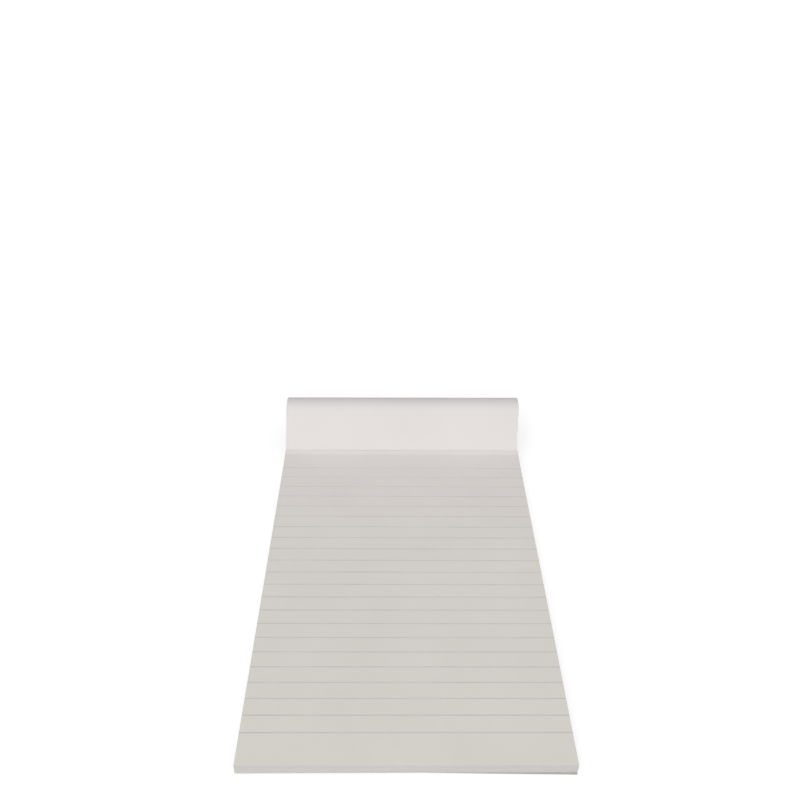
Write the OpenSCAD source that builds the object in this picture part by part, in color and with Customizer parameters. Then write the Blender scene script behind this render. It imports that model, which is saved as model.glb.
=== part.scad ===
// Ruled writing pad, gummed along the head. It lies open on a table: the first ruled sheet is up, and
// the thin cover is folded up at the head, rolled over backwards and tucked under the board.
// The foot is towards -Y, the head towards +Y, and the table is at Z = 0.

/* [Sheets] */
// Width of the pad
pad_w = 148; // [90:1:220]
// Length of the pad, foot to head
pad_l = 210; // [150:1:300]
// Number of sheets in the block
sheet_count = 50; // [20:1:100]
// Thickness of one sheet
sheet_t = 0.11; // [0.08:0.01:0.16]

/* [Ruling] */
// Distance from one ruled line to the next
rule_pitch = 8.44; // [5:0.02:12]
// Bare paper below the lowest line
rule_foot = 15.2; // [8:0.1:40]
// Least bare paper above the highest line
rule_head = 16; // [10:0.1:40]
// Width of a ruled line
rule_w = 0.3; // [0.2:0.05:0.8]
// Thickness of printed ink
ink_t = 0.03; // [0.02:0.01:0.08]

/* [Board] */
// Thickness of the backing board
board_t = 1; // [0.5:0.1:3]

/* [Cover] */
// Thickness of the cover
cover_t = 0.25; // [0.15:0.01:0.4]
// Strip of the cover that is gummed down along the head
hinge_l = 0.8; // [0.5:0.1:6]
// Radius of the fold above the gummed strip
fold_r = 0.5; // [0.4:0.05:2]
// Slope at which the cover rises from the fold
rise_deg = 56; // [40:1:75]
// Length of the straight rise
rise_l = 22.5; // [14:0.5:40]
// Radius of the roll at the top
roll_r = 10.5; // [6:0.5:18]
// Slope at which the roll runs out behind
fall_deg = 70; // [55:1:80]
// Radius of the turn that leads under the pad
under_r = 14; // [6:0.5:18]
// Bare margin round the printed field on the outside of the cover
print_margin = 5; // [2:0.5:12]

/* [Gum] */
// Thickness of the film of gum on the head
gum_t = 0.3; // [0.1:0.05:1]

/* [Hidden] */

// Turn of one facet along a bend of the cover
facet_deg = 5;

// The pad stands on the tail of the cover, printed side up.
board_z = cover_t + ink_t;
block_z = board_z + board_t;
block_t = sheet_count * sheet_t;
page_z = block_z + block_t;

rule_count = floor((pad_l - rule_foot - rule_head) / rule_pitch) + 1;

// Centres of the cover's bends, seen from the side with the middle of its gummed edge at the origin.
// The back bend is as wide as it takes to bring the cover down to the table.
fold_c = [-hinge_l, fold_r];
roll_c = fold_c + rise_l * along(rise_deg) + (fold_r - roll_r) * left(rise_deg);
back_r = (roll_r + under_r) / 2 + (roll_c[1] + page_z - under_r) / (2 * cos(fall_deg));
back_c = roll_c + (roll_r - back_r) * left(-fall_deg);
under_c = back_c + (back_r - under_r) * left(fall_deg - 180);

// Each bend turns right: its centre, its radius, the heading at its start and its turn.
fold = [fold_c, fold_r, 180, 180 - rise_deg];
roll = [roll_c, roll_r, rise_deg, rise_deg + fall_deg];
back = [back_c, back_r, -fall_deg, 180 - 2 * fall_deg];
under = [under_c, under_r, fall_deg - 180, fall_deg];

// The cover is cut as long as the pad, so what the loop leaves over lies flat under the board.
tail_l = pad_l - hinge_l - rise_l - bend_l(fold) - bend_l(roll) - bend_l(back) - bend_l(under);
tail_end = under_c + under_r * left(-180) + tail_l * along(-180);

print_start = fold_c + fold_r * left(rise_deg) + print_margin * along(rise_deg);
print_end = tail_end - print_margin * along(-180);

// The loop stands out behind the head, and the whole pad is centred on the origin.
loop_reach = back_c[0] + back_r + cover_t / 2;
head_y = (pad_l - loop_reach) / 2;
foot_y = head_y - pad_l;

// Unit vectors along a heading and to its left
function along(heading) = [cos(heading), sin(heading)];
function left(heading) = [-sin(heading), cos(heading)];

function bend_l(bend) = PI * bend[1] * bend[3] / 180;
function facets(bend) = ceil(bend[3] / facet_deg);

// Points round some bends, at a distance to the left of the middle of the card
function trace(bends, off) = [
    for (bend = bends) for (i = [0 : facets(bend)])
        bend[0] + (bend[1] + off) * left(bend[2] - bend[3] * i / facets(bend))
];

function reversed(points) = [for (i = [len(points) - 1 : -1 : 0]) points[i]];

// Section of a layer that runs from start round the bends to the end, between two such distances
function layer(start, bends, end, near, far) = concat(
    [start[0] + far * left(start[1])], trace(bends, far), [end + far * left(-180)],
    [end + near * left(-180)], reversed(trace(bends, near)), [start[0] + near * left(start[1])]
);

// Stands a section of the cover up at the head and draws it out over a width.
module drawn_out(section, width) {
    translate([-width / 2, head_y, page_z + cover_t / 2]) rotate([90, 0, 90])
        linear_extrude(width) polygon(section);
}

module back_board() {
    color("#a8a59f") translate([-pad_w / 2, foot_y, board_z]) cube([pad_w, pad_l, board_t]);
}

module ruled_sheets() {
    color("#d1cec7") translate([-pad_w / 2, foot_y, block_z]) cube([pad_w, pad_l, block_t]);
}

module ruling() {
    color("#b4b2ad") for (i = [0 : rule_count - 1])
        translate([-pad_w / 2, foot_y + rule_foot + i * rule_pitch - rule_w / 2, page_z])
            cube([pad_w, rule_w, ink_t]);
}

module head_glue() {
    color("#d0cec7") translate([-pad_w / 2, head_y, board_z])
        cube([pad_w, gum_t, board_t + block_t + cover_t]);
}

// From the gummed edge towards the foot, then up, over, down and under
module front_cover() {
    color("#cecac9")
        drawn_out(layer([[0, 0], 180], [fold, roll, back, under], tail_end,
            -cover_t / 2, cover_t / 2), pad_w);
}

module cover_print() {
    color("#170d6f")
        drawn_out(layer([print_start, rise_deg], [roll, back, under], print_end,
            -cover_t / 2 - ink_t, -cover_t / 2), pad_w - 2 * print_margin);
}

back_board();
ruled_sheets();
ruling();
head_glue();
front_cover();
cover_print();
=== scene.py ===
import math
import random

import bmesh
import bpy
from mathutils import Matrix, Vector, noise


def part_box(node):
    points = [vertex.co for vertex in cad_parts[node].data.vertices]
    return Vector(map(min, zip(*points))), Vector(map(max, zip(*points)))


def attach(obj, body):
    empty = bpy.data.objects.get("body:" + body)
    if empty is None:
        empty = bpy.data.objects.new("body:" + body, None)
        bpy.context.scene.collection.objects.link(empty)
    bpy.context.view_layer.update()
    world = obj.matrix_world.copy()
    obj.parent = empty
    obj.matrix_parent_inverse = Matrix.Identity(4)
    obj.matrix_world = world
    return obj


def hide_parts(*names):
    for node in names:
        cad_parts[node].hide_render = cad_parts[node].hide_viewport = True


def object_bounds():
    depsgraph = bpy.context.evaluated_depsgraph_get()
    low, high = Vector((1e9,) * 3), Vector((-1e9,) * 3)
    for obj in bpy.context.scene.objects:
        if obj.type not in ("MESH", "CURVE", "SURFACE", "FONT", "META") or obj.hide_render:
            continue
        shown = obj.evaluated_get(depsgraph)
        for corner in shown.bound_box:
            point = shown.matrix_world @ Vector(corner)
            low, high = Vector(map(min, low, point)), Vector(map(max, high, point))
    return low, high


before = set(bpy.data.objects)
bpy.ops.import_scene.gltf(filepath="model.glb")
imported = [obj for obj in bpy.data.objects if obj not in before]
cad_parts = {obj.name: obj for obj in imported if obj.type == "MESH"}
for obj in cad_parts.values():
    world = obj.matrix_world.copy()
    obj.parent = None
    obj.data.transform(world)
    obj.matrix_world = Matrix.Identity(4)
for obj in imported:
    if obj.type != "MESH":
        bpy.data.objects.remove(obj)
cadLow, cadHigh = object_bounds()

mm = 0.001

# places that every piece is set out from
sheetLow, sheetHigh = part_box("ruled_sheets")
boardLow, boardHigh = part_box("back_board")
lineLow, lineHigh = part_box("ruling")
gumLow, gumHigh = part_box("head_glue")
padW = sheetHigh.x - sheetLow.x
padL = sheetHigh.y - sheetLow.y
footY, headY = sheetLow.y, sheetHigh.y
pageZ = sheetHigh.z
print("frame loaded, pad", round(padW / mm), "by", round(padL / mm), "mm")


def between(low, high, share):
    return low + (high - low) * share


def smoothStep(low, high, value):
    t = min(1.0, max(0.0, (value - low) / (high - low)))
    return t * t * (3 - 2 * t)


# slow noise from 0 to 1
def unevenness(x, y, seed):
    return 0.5 + 0.5 * noise.noise((x, y, seed))


# a closed skin over a stack of grids that have the same rows and columns, the first on top;
# of a grid between the first and the last only the rim is used
def slabMesh(*levels):
    rows, columns = len(levels[0]), len(levels[0][0])
    points = [p for level in levels for row in level for p in row]
    size = rows * columns
    last = size * (len(levels) - 1)
    faces = []
    for r in range(rows - 1):
        for c in range(columns - 1):
            a, b = r * columns + c, r * columns + c + 1
            quad = (a, b, b + columns, a + columns)
            faces.append(quad)
            faces.append(tuple(last + i for i in reversed(quad)))
    rim = list(range(columns))
    rim += [r * columns + columns - 1 for r in range(1, rows)]
    rim += [(rows - 1) * columns + c for c in range(columns - 2, -1, -1)]
    rim += [r * columns for r in range(rows - 2, 0, -1)]
    for a, b in zip(rim, rim[1:] + rim[:1]):
        for base in range(0, last, size):
            faces.append((base + b, base + a, base + size + a, base + size + b))
    return points, faces


# several slabs joined into one piece
def joinMeshes(parts):
    points, faces = [], []
    for partPoints, partFaces in parts:
        shift = len(points)
        points += partPoints
        faces += [tuple(shift + i for i in face) for face in partFaces]
    return points, faces


# a finished piece on the pad: mesh, material, and what it stands for
def addPiece(name, meshData, material, slotName, *nodes, creaseDeg=35):
    mesh = bpy.data.meshes.new(name)
    mesh.from_pydata(meshData[0], [], meshData[1])
    work = bmesh.new()
    work.from_mesh(mesh)
    bmesh.ops.delete(work, geom=[v for v in work.verts if not v.link_faces], context="VERTS")
    bmesh.ops.recalc_face_normals(work, faces=work.faces)
    work.to_mesh(mesh)
    work.free()
    mesh.shade_smooth()
    mesh.set_sharp_from_angle(angle=math.radians(creaseDeg))
    mesh.materials.append(material)
    piece = bpy.data.objects.new(name, mesh)
    bpy.context.collection.objects.link(piece)
    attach(piece, "root")
    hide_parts(*nodes)


# sets a shader node's inputs, by name or place, to a number, a colour, an output of another node,
# or another node, whose first output is then meant
def fillInputs(tree, node, values):
    for key, value in values.items():
        socket = node.inputs[key]
        if isinstance(value, bpy.types.Node):
            value = value.outputs[0]
        if isinstance(value, bpy.types.NodeSocket):
            tree.links.new(value, socket)
        elif socket.type == "RGBA":
            socket.default_value = (*value, 1.0)
        else:
            socket.default_value = value


def addNode(tree, kind, values):
    node = tree.nodes.new(kind)
    fillInputs(tree, node, values)
    return node


def addMath(tree, operation, *values):
    node = tree.nodes.new("ShaderNodeMath")
    node.operation = operation
    fillInputs(tree, node, dict(enumerate(values)))
    return node


# noise in object space, stretched along one axis where a grain runs
def addNoise(tree, stretch, scale, detail, roughness):
    place = tree.nodes.new("ShaderNodeTexCoord")
    coords = addNode(tree, "ShaderNodeMapping", {"Vector": place.outputs["Object"], "Scale": stretch})
    return addNode(tree, "ShaderNodeTexNoise", {
        "Vector": coords, "Scale": scale, "Detail": detail, "Roughness": roughness})


# 0 to 1 from one place to another along the pad's length
def alongLength(tree, low, high, coords="Object"):
    place = tree.nodes.new("ShaderNodeTexCoord")
    axes = addNode(tree, "ShaderNodeSeparateXYZ", {"Vector": place.outputs[coords]})
    return addNode(tree, "ShaderNodeMapRange", {
        "Value": axes.outputs["Y"], "From Min": low, "From Max": high})


# two colours mixed by a share: they go into the node at 6 and 7, and the mix comes out at 2
def mixColours(tree, blend, share, first, second):
    node = tree.nodes.new("ShaderNodeMix")
    node.data_type = "RGBA"
    node.blend_type = blend
    fillInputs(tree, node, {0: share, 6: first, 7: second})
    return node.outputs[2]


# what paper, card, ink, gum and board share: slow clouds of tone under a fine fibre
fibrous = {
    "evenStretch": (1.0, 1.0, 1.0),
    "cloud": (3.0, 0.55),      # detail and roughness of the noise
    "fibre": (6.0, 0.65),
    "levels": (0.3, 0.7),      # of the noise, for the shade and the tint
    "paintedCoverLightPower": 2.0,          # how late the painted light from the cover comes in towards the head
}


def fibrousMaterial(name, look):
    material = bpy.data.materials.new(name)
    material.use_nodes = True
    tree = material.node_tree
    cloud = addNoise(tree, fibrous["evenStretch"], look["cloudScale"], *fibrous["cloud"])
    fibre = addNoise(tree, look["grain"], look["fibreScale"], *fibrous["fibre"])
    fineTone = addMath(tree, "MULTIPLY", fibre, 1 - look["cloudShare"])
    tone = addMath(tree, "MULTIPLY_ADD", cloud, look["cloudShare"], fineTone)
    ramp = addNode(tree, "ShaderNodeValToRGB", {"Fac": tone})
    for element, level, end in zip(ramp.color_ramp.elements, fibrous["levels"], ("shade", "tint")):
        element.position = level
        element.color = (*look[end], 1.0)
    colour = ramp.outputs["Color"]
    # painted light: the colour is tinted towards the head, for the pinkish light the cover throws back
    # onto the page
    if "paintedCoverLight" in look:
        share = addMath(tree, "POWER", alongLength(tree, footY, headY), fibrous["paintedCoverLightPower"])
        colour = mixColours(tree, "MULTIPLY", share, colour, look["paintedCoverLight"])
    smoothest, roughest = look["rough"]
    rough = addNode(tree, "ShaderNodeMapRange", {"Value": fibre, "To Min": smoothest, "To Max": roughest})
    bump = addNode(tree, "ShaderNodeBump", {
        "Height": fibre, "Strength": look["bump"], "Distance": look["bumpDepth"] * mm})
    fillInputs(tree, tree.nodes["Principled BSDF"], {
        "Base Color": colour, "Roughness": rough, "Normal": bump, "Specular IOR Level": look["specular"]})
    return material


# ruled sheets
sheets = {
    "count": 50,
    "air": 0.02,           # mm of air between sheets
    "cutScatter": 0.07,    # mm that the trimmed edges wander
    "cutSway": 3.0,        # radians of a slow wave along a side edge
    "cutLean": 0.42,       # mm that the lowest sheet stands out at the left of the foot
    "lift": 0.8,           # mm that the top sheet is drawn up beside the fold
    "liftStart": 1.4,      # mm from the head
    "liftStep": 0.25,      # mm more for each sheet below
    "liftRise": 0.1,       # mm over which it comes up
    "liftReach": 20.0,     # mm over which it settles again
    "curl": 0.6,           # mm more that it curls up near the fold
    "curlReach": 4.0,      # mm over which it does
    "curlPower": 1.5,      # steeper near the fold
    "loose": 8,            # sheets that share in it
    "wave": 0.10,          # mm of slow waves in the top sheet
    "waveLength": 75.0,    # mm
    "waveCalm": 30.0,      # mm from the head over which they come in
    "rows": 27,
    "columns": 16,
    "topRows": 140,
    "topColumns": 72,
    "rowPower": 3,         # rows closer together towards the head
    "seed": 11,
    "paper": {
        "shade": (0.632, 0.610, 0.569), "tint": (0.667, 0.645, 0.604),
        "paintedCoverLight": (0.99, 0.965, 1.02),   # painted light: what its colour is multiplied by at the head, for the light the cover throws onto the page
        "specular": 0.15, "rough": (0.85, 0.98),
        "cloudScale": 28.0, "cloudShare": 0.55,
        "fibreScale": 1500.0, "grain": (1.0, 0.45, 1.0),
        "bump": 0.16, "bumpDepth": 0.05,
    },
    # painted shade: the cut edges of the block are coloured greyer than the face of a sheet, for the
    # shade between the sheets
    "cutEdgeShade": {"shade": (0.597, 0.587, 0.563), "tint": (0.630, 0.620, 0.597)},
}


# how far a sheet stands above its flat place; the sheets below share in it less and less
def sheetLift(x, y, depth):
    share = max(0.0, 1 - depth / sheets["loose"])
    if share == 0.0:
        return 0.0
    fromHead = (headY - y) / mm
    run = max(0.0, fromHead - sheets["liftStart"] - depth * sheets["liftStep"])
    drawn = sheets["lift"] * math.exp(-run / sheets["liftReach"])
    drawn += sheets["curl"] * max(0.0, 1 - run / sheets["curlReach"]) ** sheets["curlPower"]
    drawn *= 1 - math.exp(-run / sheets["liftRise"])
    waveL = sheets["waveLength"] * mm
    wave = sheets["wave"] * unevenness(x / waveL, y / waveL, sheets["seed"])
    wave *= smoothStep(0.0, sheets["waveCalm"], fromHead)
    return share * (drawn + wave) * mm


def sheetSlab(index, rows, columns, draw):
    pitch = (pageZ - sheetLow.z) / sheets["count"]
    top = pageZ - index * pitch
    bottom = top - pitch + sheets["air"] * mm
    side, foot, sway = (draw.uniform(-1, 1) * sheets["cutScatter"] * mm for _ in range(3))
    lean = sheets["cutLean"] * mm * index / (sheets["count"] - 1)
    upper, lower = [], []
    for r in range(rows):
        v = 1 - (1 - r / (rows - 1)) ** sheets["rowPower"]
        wander = side + sway * math.sin(sheets["cutSway"] * v + index)
        places = []
        for c in range(columns):
            u = c / (columns - 1)
            x = sheetLow.x + wander + padW * u
            y = footY + (foot - lean * (1 - u)) * (1 - v) + padL * v
            places.append((x, y, sheetLift(x, y, index)))
        upper.append([(x, y, top + lift) for x, y, lift in places])
        lower.append([(x, y, bottom + lift) for x, y, lift in places])
    return slabMesh(upper, lower)


trim = random.Random(sheets["seed"])
firstSheet = sheetSlab(0, sheets["topRows"], sheets["topColumns"], trim)
lowerSheets = [sheetSlab(i, sheets["rows"], sheets["columns"], trim) for i in range(1, sheets["count"])]
writingPaper = fibrousMaterial("writingPaper", sheets["paper"])
# a shaded copy of the writing paper, with painted shade, for the block's cut edges
shadedCutPaper = fibrousMaterial("shadedCutPaper", {**sheets["paper"], **sheets["cutEdgeShade"]})
addPiece("topSheet", firstSheet, writingPaper, "paper", "ruled_sheets")
addPiece("sheetStack", joinMeshes(lowerSheets), shadedCutPaper, "paper", "ruled_sheets")
print("sheets laid:", sheets["count"])


# ruled lines, printed on the top sheet
ruling = {
    "lines": 22,
    "width": 0.62,         # mm
    "headWidth": 0.44,     # mm, of the line nearest the head
    "thinFrom": 0.6,       # share of the ruling where the lines start to get thinner
    "margin": 0.15,        # mm from the end of the ruling to the middle of its last line
    "columns": 60,
    "ink": {
        "shade": (0.505, 0.488, 0.456), "tint": (0.595, 0.575, 0.537),
        "specular": 0.15, "rough": (0.75, 0.95),
        "cloudScale": 45.0, "cloudShare": 0.7,
        "fibreScale": 2600.0, "grain": (1.0, 1.0, 1.0),
        "bump": 0.1, "bumpDepth": 0.02,
    },
}


def ruledLine(index):
    upward = index / (ruling["lines"] - 1)
    thinner = smoothStep(ruling["thinFrom"], 1.0, upward)
    half = between(ruling["width"], ruling["headWidth"], thinner) * mm / 2
    margin = ruling["margin"] * mm
    middle = between(lineLow.y + margin, lineHigh.y - margin, upward)
    ink = lineHigh.z - lineLow.z
    xs = [sheetLow.x + padW * c / (ruling["columns"] - 1) for c in range(ruling["columns"])]
    upper, lower = [], []
    for y in (middle - half, middle + half):
        page = [pageZ + sheetLift(x, y, 0) for x in xs]
        upper.append([(x, y, z + ink) for x, z in zip(xs, page)])
        lower.append([(x, y, z) for x, z in zip(xs, page)])
    return slabMesh(upper, lower)


lineInk = fibrousMaterial("lineInk", ruling["ink"])
allLines = joinMeshes([ruledLine(i) for i in range(ruling["lines"])])
addPiece("ruledLines", allLines, lineInk, "line_ink", "ruling")
print("lines ruled:", ruling["lines"])


# cover: gummed strip, fold, rise, roll, back, turn under and flat tail, with lengths in mm
cover = {
    "card": 0.25,
    "hinge": 0.8,
    "foldR": 0.5,
    "riseDeg": 56.0,
    "rise": 22.5,
    "rollR": 10.5,
    "fallDeg": 70.0,
    "underR": 14.0,
    # height on the card, and how far its left and right edges stand to the right there
    "edges": ((0.0, 0.0, 0.0), (6.0, 0.2, -0.6), (14.0, 0.35, 0.0), (24.0, 0.3, 0.6)),
    "crown": (0.1, 0.75),          # how much higher the roll stands at its left and right ends
    "crownFrom": 3.0,              # height on the card where that begins
    "ripple": 0.10,
    "rippleLength": 55.0,
    "rippleIn": 9.0,               # length after the fold over which the ripples come in
    "rippleOut": (22.0, 6.0),      # from where to where before the tail they go out
    "stepDeg": 3.0,                # from one row to the next in a bend
    "flatStep": 1.5,               # and where the card is straight
    "leastStep": 0.01,
    "columns": 48,
    "creaseDeg": 45,
    "seed": 5,
    "look": {
        "shade": (0.598, 0.572, 0.565), "tint": (0.624, 0.599, 0.593),
        "specular": 0.30, "rough": (0.62, 0.74),
        "cloudScale": 22.0, "cloudShare": 0.6,
        "fibreScale": 1900.0, "grain": (1.0, 0.6, 0.6),
        "bump": 0.10, "bumpDepth": 0.03,
    },
}


# the card's runs as length and turn; the back bend is as wide as brings the card down to the table
def coverRuns():
    rise, fall = math.radians(cover["riseDeg"]), math.radians(cover["fallDeg"])
    climb = cover["foldR"] * (1 + math.cos(rise)) + cover["rise"] * math.sin(rise)
    drop = climb + cover["rollR"] * (math.cos(fall) - math.cos(rise))
    drop += pageZ / mm - cover["underR"] * (1 - math.cos(fall))
    backR = drop / (2 * math.cos(fall))

    def bend(radius, deg):
        return radius * math.radians(deg), deg

    path = [
        (cover["hinge"], 0),
        bend(cover["foldR"], 180 - cover["riseDeg"]),
        (cover["rise"], 0),
        bend(cover["rollR"], cover["riseDeg"] + cover["fallDeg"]),
        bend(backR, 180 - 2 * cover["fallDeg"]),
        bend(cover["underR"], cover["fallDeg"]),
    ]
    tail = padL / mm - sum(length for length, deg in path)
    return path + [(tail, 0)]


# side view of the card's middle at a distance along it: y, z and heading, from the gummed edge
def coverAt(along):
    y, z, heading = 0.0, 0.0, 180.0
    for length, deg in runs:
        step = min(along, length)
        a = math.radians(heading)
        if deg:
            r = length / math.radians(deg)
            heading -= deg * step / length
            b = math.radians(heading)
            y += r * (math.sin(a) - math.sin(b))
            z += r * (math.cos(b) - math.cos(a))
        else:
            y += step * math.cos(a)
            z += step * math.sin(a)
        along -= step
        if along <= 0:
            break
    return y, z, math.radians(heading)


# distances along the card at which its section is drawn, close together in the bends
def coverStations(start, end):
    found, begin = [start], 0.0
    for length, deg in runs:
        steps = math.ceil(deg / cover["stepDeg"]) if deg else math.ceil(length / cover["flatStep"])
        found += [begin + length * (i + 1) / steps for i in range(steps)]
        begin += length
    return [s for s in found if start <= s < end - cover["leastStep"]] + [end]


# slow ripples in the loop, none at the fold or under the board
def coverRipple(x, along):
    start, stop = (loopEnd - before for before in cover["rippleOut"])
    calm = smoothStep(foldEnd, foldEnd + cover["rippleIn"], along) * (1 - smoothStep(start, stop, along))
    size = cover["rippleLength"]
    return cover["ripple"] * calm * noise.noise((x / mm / size, along / size, cover["seed"]))


# where the card's left and right edges have wandered to once it has climbed so high
def coverEdges(climbed):
    edges = cover["edges"]
    for (lowZ, *lowShifts), (highZ, *highShifts) in zip(edges, edges[1:]):
        if climbed <= highZ:
            share = smoothStep(lowZ, highZ, climbed)
            return [between(low, high, share) for low, high in zip(lowShifts, highShifts)]
    return edges[-1][1:]


# a layer of the cover between two distances along it and two distances from the card's middle
def coverLayer(start, end, near, far, width):
    upper, lower = [], []
    climbed = 0.0
    for s in coverStations(start, end):
        y, z, heading = coverAt(s)
        climbed = max(climbed, z)
        leftShift, rightShift = coverEdges(climbed)
        raised = smoothStep(cover["crownFrom"], loopTop, z)
        sideY, sideZ = -math.sin(heading), math.cos(heading)
        outer, inner = [], []
        for c in range(cover["columns"]):
            x = width * (c / (cover["columns"] - 1) - 0.5)
            across = x / padW + 0.5
            lean = between(leftShift, rightShift, across) * mm
            crown = between(*cover["crown"], across) * raised
            ripple = coverRipple(x, s)
            for row, off in ((outer, far), (inner, near)):
                reach = (off + ripple) * mm
                row.append((x + lean, headY + y * mm + sideY * reach,
                            pageZ + (cover["card"] / 2 + z + crown) * mm + sideZ * reach))
        upper.append(outer)
        lower.append(inner)
    return slabMesh(upper, lower)


runs = coverRuns()
foldEnd = sum(length for length, deg in runs[:2])
loopEnd = sum(length for length, deg in runs[:-1])
cardEnd = padL / mm
cardHalf = cover["card"] / 2
loopTop = max(coverAt(s)[1] for s in coverStations(0.0, cardEnd))
cardSkin = coverLayer(0.0, cardEnd, -cardHalf, cardHalf, padW)
cardStock = fibrousMaterial("coverCard", cover["look"])
addPiece("coverCard", cardSkin, cardStock, "cover_card", "front_cover", creaseDeg=cover["creaseDeg"])
print("cover rolled, tail under the pad", round(cardEnd - loopEnd), "mm")


# printed field on the outside of the card
field = {
    "margin": 5.0,         # mm of bare card round it
    "ink": 0.03,           # mm
    "look": {
        "shade": (0.006, 0.003, 0.125), "tint": (0.011, 0.005, 0.19),
        "specular": 0.5, "rough": (0.30, 0.42),
        "cloudScale": 30.0, "cloudShare": 0.6,
        "fibreScale": 1900.0, "grain": (1.0, 0.6, 0.6),
        "bump": 0.08, "bumpDepth": 0.02,
    },
}
fieldW = padW - 2 * field["margin"] * mm
fieldSkin = coverLayer(foldEnd + field["margin"], cardEnd - field["margin"],
                       -cardHalf - field["ink"], -cardHalf, fieldW)
fieldInk = fibrousMaterial("fieldInk", field["look"])
addPiece("coverField", fieldSkin, fieldInk, "cover_ink", "cover_print", creaseDeg=cover["creaseDeg"])
print("field printed", round(fieldW / mm), "mm wide")


# gum brushed along the head
gum = {
    "thin": 0.12,          # mm, between brush strokes
    "thick": 0.30,         # mm, on a stroke
    "strokeLength": 26.0,  # mm
    "strokesUp": 2.2,      # strokes from the board to the cover
    "edge": 0.25,          # share of its depth that is left at the rims
    "edgePower": 8,        # how near the rims it gets thinner
    "columns": 150,
    "rows": 16,
    "creaseDeg": 50,
    "seed": 3,
    "look": {
        "shade": (0.56, 0.545, 0.50), "tint": (0.70, 0.685, 0.64),
        "specular": 0.45, "rough": (0.35, 0.55),
        "cloudScale": 60.0, "cloudShare": 0.7,
        "fibreScale": 900.0, "grain": (0.12, 1.0, 1.0),
        "bump": 0.3, "bumpDepth": 0.06,
    },
}


def gumSkin():
    strokeL = gum["strokeLength"] * mm
    outer, inner = [], []
    for r in range(gum["rows"]):
        v = r / (gum["rows"] - 1)
        z = between(gumLow.z, gumHigh.z, v)
        rounded = between(gum["edge"], 1.0, math.sqrt(1 - (2 * v - 1) ** gum["edgePower"]))
        front, back = [], []
        for c in range(gum["columns"]):
            x = between(gumLow.x, gumHigh.x, c / (gum["columns"] - 1))
            stroke = unevenness(x / strokeL, v * gum["strokesUp"], gum["seed"])
            depth = between(gum["thin"], gum["thick"], stroke) * rounded * mm
            front.append((x, headY + depth, z))
            back.append((x, headY, z))
        outer.append(front)
        inner.append(back)
    return slabMesh(outer, inner)


padGum = fibrousMaterial("padGum", gum["look"])
addPiece("gumFilm", gumSkin(), padGum, "gum", "head_glue", creaseDeg=gum["creaseDeg"])
print("head gummed")


# grey board under the sheets
board = {
    "soft": 0.10,          # mm that its edges are rubbed round
    "wander": 0.05,        # mm of unevenness along the cut
    "wanderLength": 9.0,   # mm
    "foot": (1.4, -0.6),   # mm that the foot is cut short at the left and long at the right
    "footFrom": -0.6,      # where the stretch to that cut begins, 0 in the middle and -1 at the foot
    "rows": 64,
    "columns": 48,
    "creaseDeg": 60,
    "seed": 9,
    "look": {
        "shade": (0.33, 0.317, 0.293), "tint": (0.45, 0.435, 0.405),
        "specular": 0.2, "rough": (0.82, 0.96),
        "cloudScale": 90.0, "cloudShare": 0.35,
        "fibreScale": 650.0, "grain": (1.0, 0.5, 2.2),
        "bump": 0.35, "bumpDepth": 0.08,
    },
}


# the board's outline at one height, drawn in all round by an inset
def boardLevel(z, inset):
    middle = (boardLow + boardHigh) / 2
    wanderL = board["wanderLength"] * mm
    level = []
    for r in range(board["rows"]):
        v = 2 * r / (board["rows"] - 1) - 1
        y = middle.y + v * padL / 2
        nearFoot = smoothStep(board["footFrom"], -1.0, v)
        row = []
        for c in range(board["columns"]):
            u = 2 * c / (board["columns"] - 1) - 1
            x = middle.x + u * padW / 2
            pull = inset + board["wander"] * mm * unevenness(x / wanderL, y / wanderL, board["seed"])
            short = between(*board["foot"], (u + 1) / 2) * nearFoot * mm
            row.append((x - u * pull, y - v * pull + short, z))
        level.append(row)
    return level


def boardPanel():
    soft = board["soft"] * mm
    top, bottom = boardHigh.z, boardLow.z
    heights = ((top, soft), (top - soft, 0.0), (bottom + soft, 0.0), (bottom, soft))
    return slabMesh(*(boardLevel(z, inset) for z, inset in heights))


greyBoard = fibrousMaterial("greyBoard", board["look"])
addPiece("backPanel", boardPanel(), greyBoard, "board", "back_board", creaseDeg=board["creaseDeg"])
print("board cut")


# table top, white to the camera but still catching the shadow
table = {
    "size": 4.0,           # m
    "drop": 0.05,          # mm below the pad
    "colour": (0.43, 0.43, 0.42),
    "colourBehind": (0.78, 0.78, 0.77),   # paler behind the pad, to light the back of the roll
    "fade": 0.15,          # m over which it gets paler
    "white": 1.01,         # what the camera sees of it
    "shadowPart": 0.42,    # share of that white that a shadow can take away
    "light": 0.90,         # how brightly the studio lights it
}
white = (1.0, 1.0, 1.0)


# 1 where the ray comes from the camera, a reflection or through glass
def seenDirectly(tree):
    rays = tree.nodes.new("ShaderNodeLightPath").outputs
    seen = addMath(tree, "MAXIMUM", rays["Is Camera Ray"], rays["Is Glossy Ray"])
    return addMath(tree, "MAXIMUM", seen, rays["Is Transmission Ray"])


def tableMaterial():
    material = bpy.data.materials.new("tableTop")
    material.use_nodes = True
    tree = material.node_tree
    tree.nodes.remove(tree.nodes["Principled BSDF"])
    behind = alongLength(tree, headY - table["fade"], headY)
    colour = mixColours(tree, "MIX", behind, table["colour"], table["colourBehind"])
    plain = addNode(tree, "ShaderNodeBsdfDiffuse", {"Color": colour})
    part = table["shadowPart"]
    shaded = addNode(tree, "ShaderNodeBsdfDiffuse", {"Color": (part, part, part)})
    level = table["white"] - part * table["light"]
    glow = addNode(tree, "ShaderNodeEmission", {"Color": white, "Strength": level})
    pale = addNode(tree, "ShaderNodeAddShader", {0: shaded, 1: glow})
    choose = addNode(tree, "ShaderNodeMixShader", {0: seenDirectly(tree), 1: plain, 2: pale})
    fillInputs(tree, tree.nodes["Material Output"], {"Surface": choose})
    return material


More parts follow.
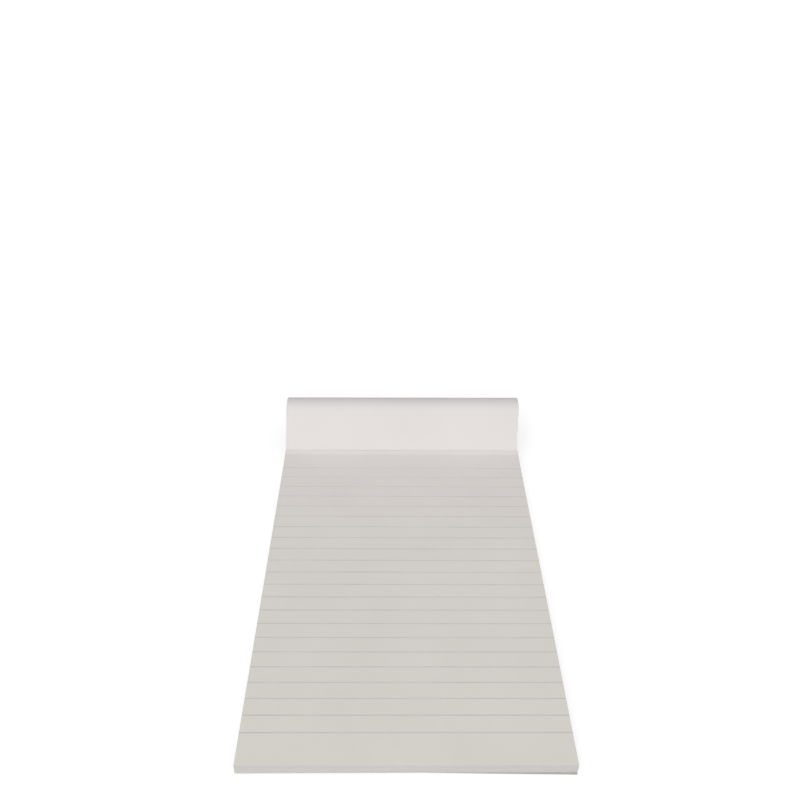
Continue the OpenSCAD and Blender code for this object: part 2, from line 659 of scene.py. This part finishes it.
tableHalf = table["size"] / 2
tableZ = cadLow.z - table["drop"] * mm
corners = [(x * tableHalf, y * tableHalf, tableZ) for x, y in ((-1, -1), (1, -1), (1, 1), (-1, 1))]
tableMesh = bpy.data.meshes.new("tableTop")
tableMesh.from_pydata(corners, [], [(0, 1, 2, 3)])
tableMesh.materials.append(tableMaterial())
tableTop = bpy.data.objects.new("tableTop", tableMesh)
bpy.context.collection.objects.link(tableTop)
print("table set")


# soft studio light: a sky that is dimmer behind the pad, a broad lamp in front, a low one at each side
# for the cut edges, and a small fill near the foot
studio = {
    "sky": 0.79,
    "skyBehind": 0.26,
    "skyFade": (-0.4, 0.73),   # from front to back, -1 to 1
    # degrees up, round from the front and across, then what each adds to a white sheet facing it
    "suns": {
        "frontLamp": (44.0, -12.0, 50.0, 0.50),
        "rightLamp": (0.8, 110.0, 4.0, 0.28),
        "leftLamp": (0.8, -110.0, 4.0, 0.28),
    },
    "fillPlace": (-0.10, -0.42, 0.34),   # m
    "fillSize": 0.4,           # m
    "fillLevel": 0.09,         # what it adds at the foot of the page
}


def buildSky():
    world = bpy.data.worlds.new("studioSky")
    bpy.context.scene.world = world
    world.use_nodes = True
    tree = world.node_tree
    fade = alongLength(tree, *studio["skyFade"], coords="Generated")
    fade.interpolation_type = "SMOOTHSTEP"
    fillInputs(tree, fade, {"To Min": studio["sky"], "To Max": studio["skyBehind"]})
    ambient = tree.nodes["Background"]
    fillInputs(tree, ambient, {"Color": white, "Strength": fade})
    backdrop = addNode(tree, "ShaderNodeBackground", {"Color": white, "Strength": 1.0})
    choose = addNode(tree, "ShaderNodeMixShader", {0: seenDirectly(tree), 1: ambient, 2: backdrop})
    fillInputs(tree, tree.nodes["World Output"], {"Surface": choose})


def hangLamp(lamp, place, target):
    holder = bpy.data.objects.new(lamp.name, lamp)
    holder.location = place
    holder.rotation_euler = (place - target).to_track_quat("Z", "Y").to_euler()
    bpy.context.collection.objects.link(holder)


def hangSun(name, upDeg, roundDeg, acrossDeg, level):
    sun = bpy.data.lights.new(name, "SUN")
    sun.angle = math.radians(acrossDeg)
    sun.energy = level * math.pi
    up, aside = math.radians(upDeg), math.radians(roundDeg)
    away = Vector((math.sin(aside) * math.cos(up), -math.cos(aside) * math.cos(up), math.sin(up)))
    hangLamp(sun, away, Vector((0, 0, 0)))


def buildLamps():
    for name, setting in studio["suns"].items():
        hangSun(name, *setting)
    foot, place = Vector((0, footY, pageZ)), Vector(studio["fillPlace"])
    fill = bpy.data.lights.new("fillLamp", "AREA")
    fill.shape = "DISK"
    fill.size = studio["fillSize"]
    fill.energy = studio["fillLevel"] * (math.pi * (place - foot).length) ** 2
    hangLamp(fill, place, foot)


buildSky()
buildLamps()
print("lights up")


# camera over the foot of the page, looking down its length
shot = {
    "sensor": 36.0,        # mm
    "lens": 35.86,         # mm
    "nearest": 0.01,       # m
    "pitchDeg": 36.208,    # below the horizon
    "yawDeg": -1.002,
    "rollDeg": 0.901,
    "aside": -8.57,        # mm from the middle of the page's foot edge
    "back": 182.55,
    "above": 327.42,
}
camera = bpy.data.cameras.new("shot")
camera.sensor_width = shot["sensor"]
camera.lens = shot["lens"]
camera.clip_start = shot["nearest"]
viewer = bpy.data.objects.new("shot", camera)
yaw = Matrix.Rotation(math.radians(shot["yawDeg"]), 4, "Z")
pitch = Matrix.Rotation(math.radians(90 - shot["pitchDeg"]), 4, "X")
roll = Matrix.Rotation(math.radians(shot["rollDeg"]), 4, "Z")
spot = Vector((shot["aside"] * mm, footY - shot["back"] * mm, pageZ + shot["above"] * mm))
viewer.matrix_world = Matrix.Translation(spot) @ (yaw @ pitch @ roll)
bpy.context.collection.objects.link(viewer)
bpy.context.scene.camera = viewer
bpy.context.scene.view_settings.view_transform = "Standard"
print("camera placed")
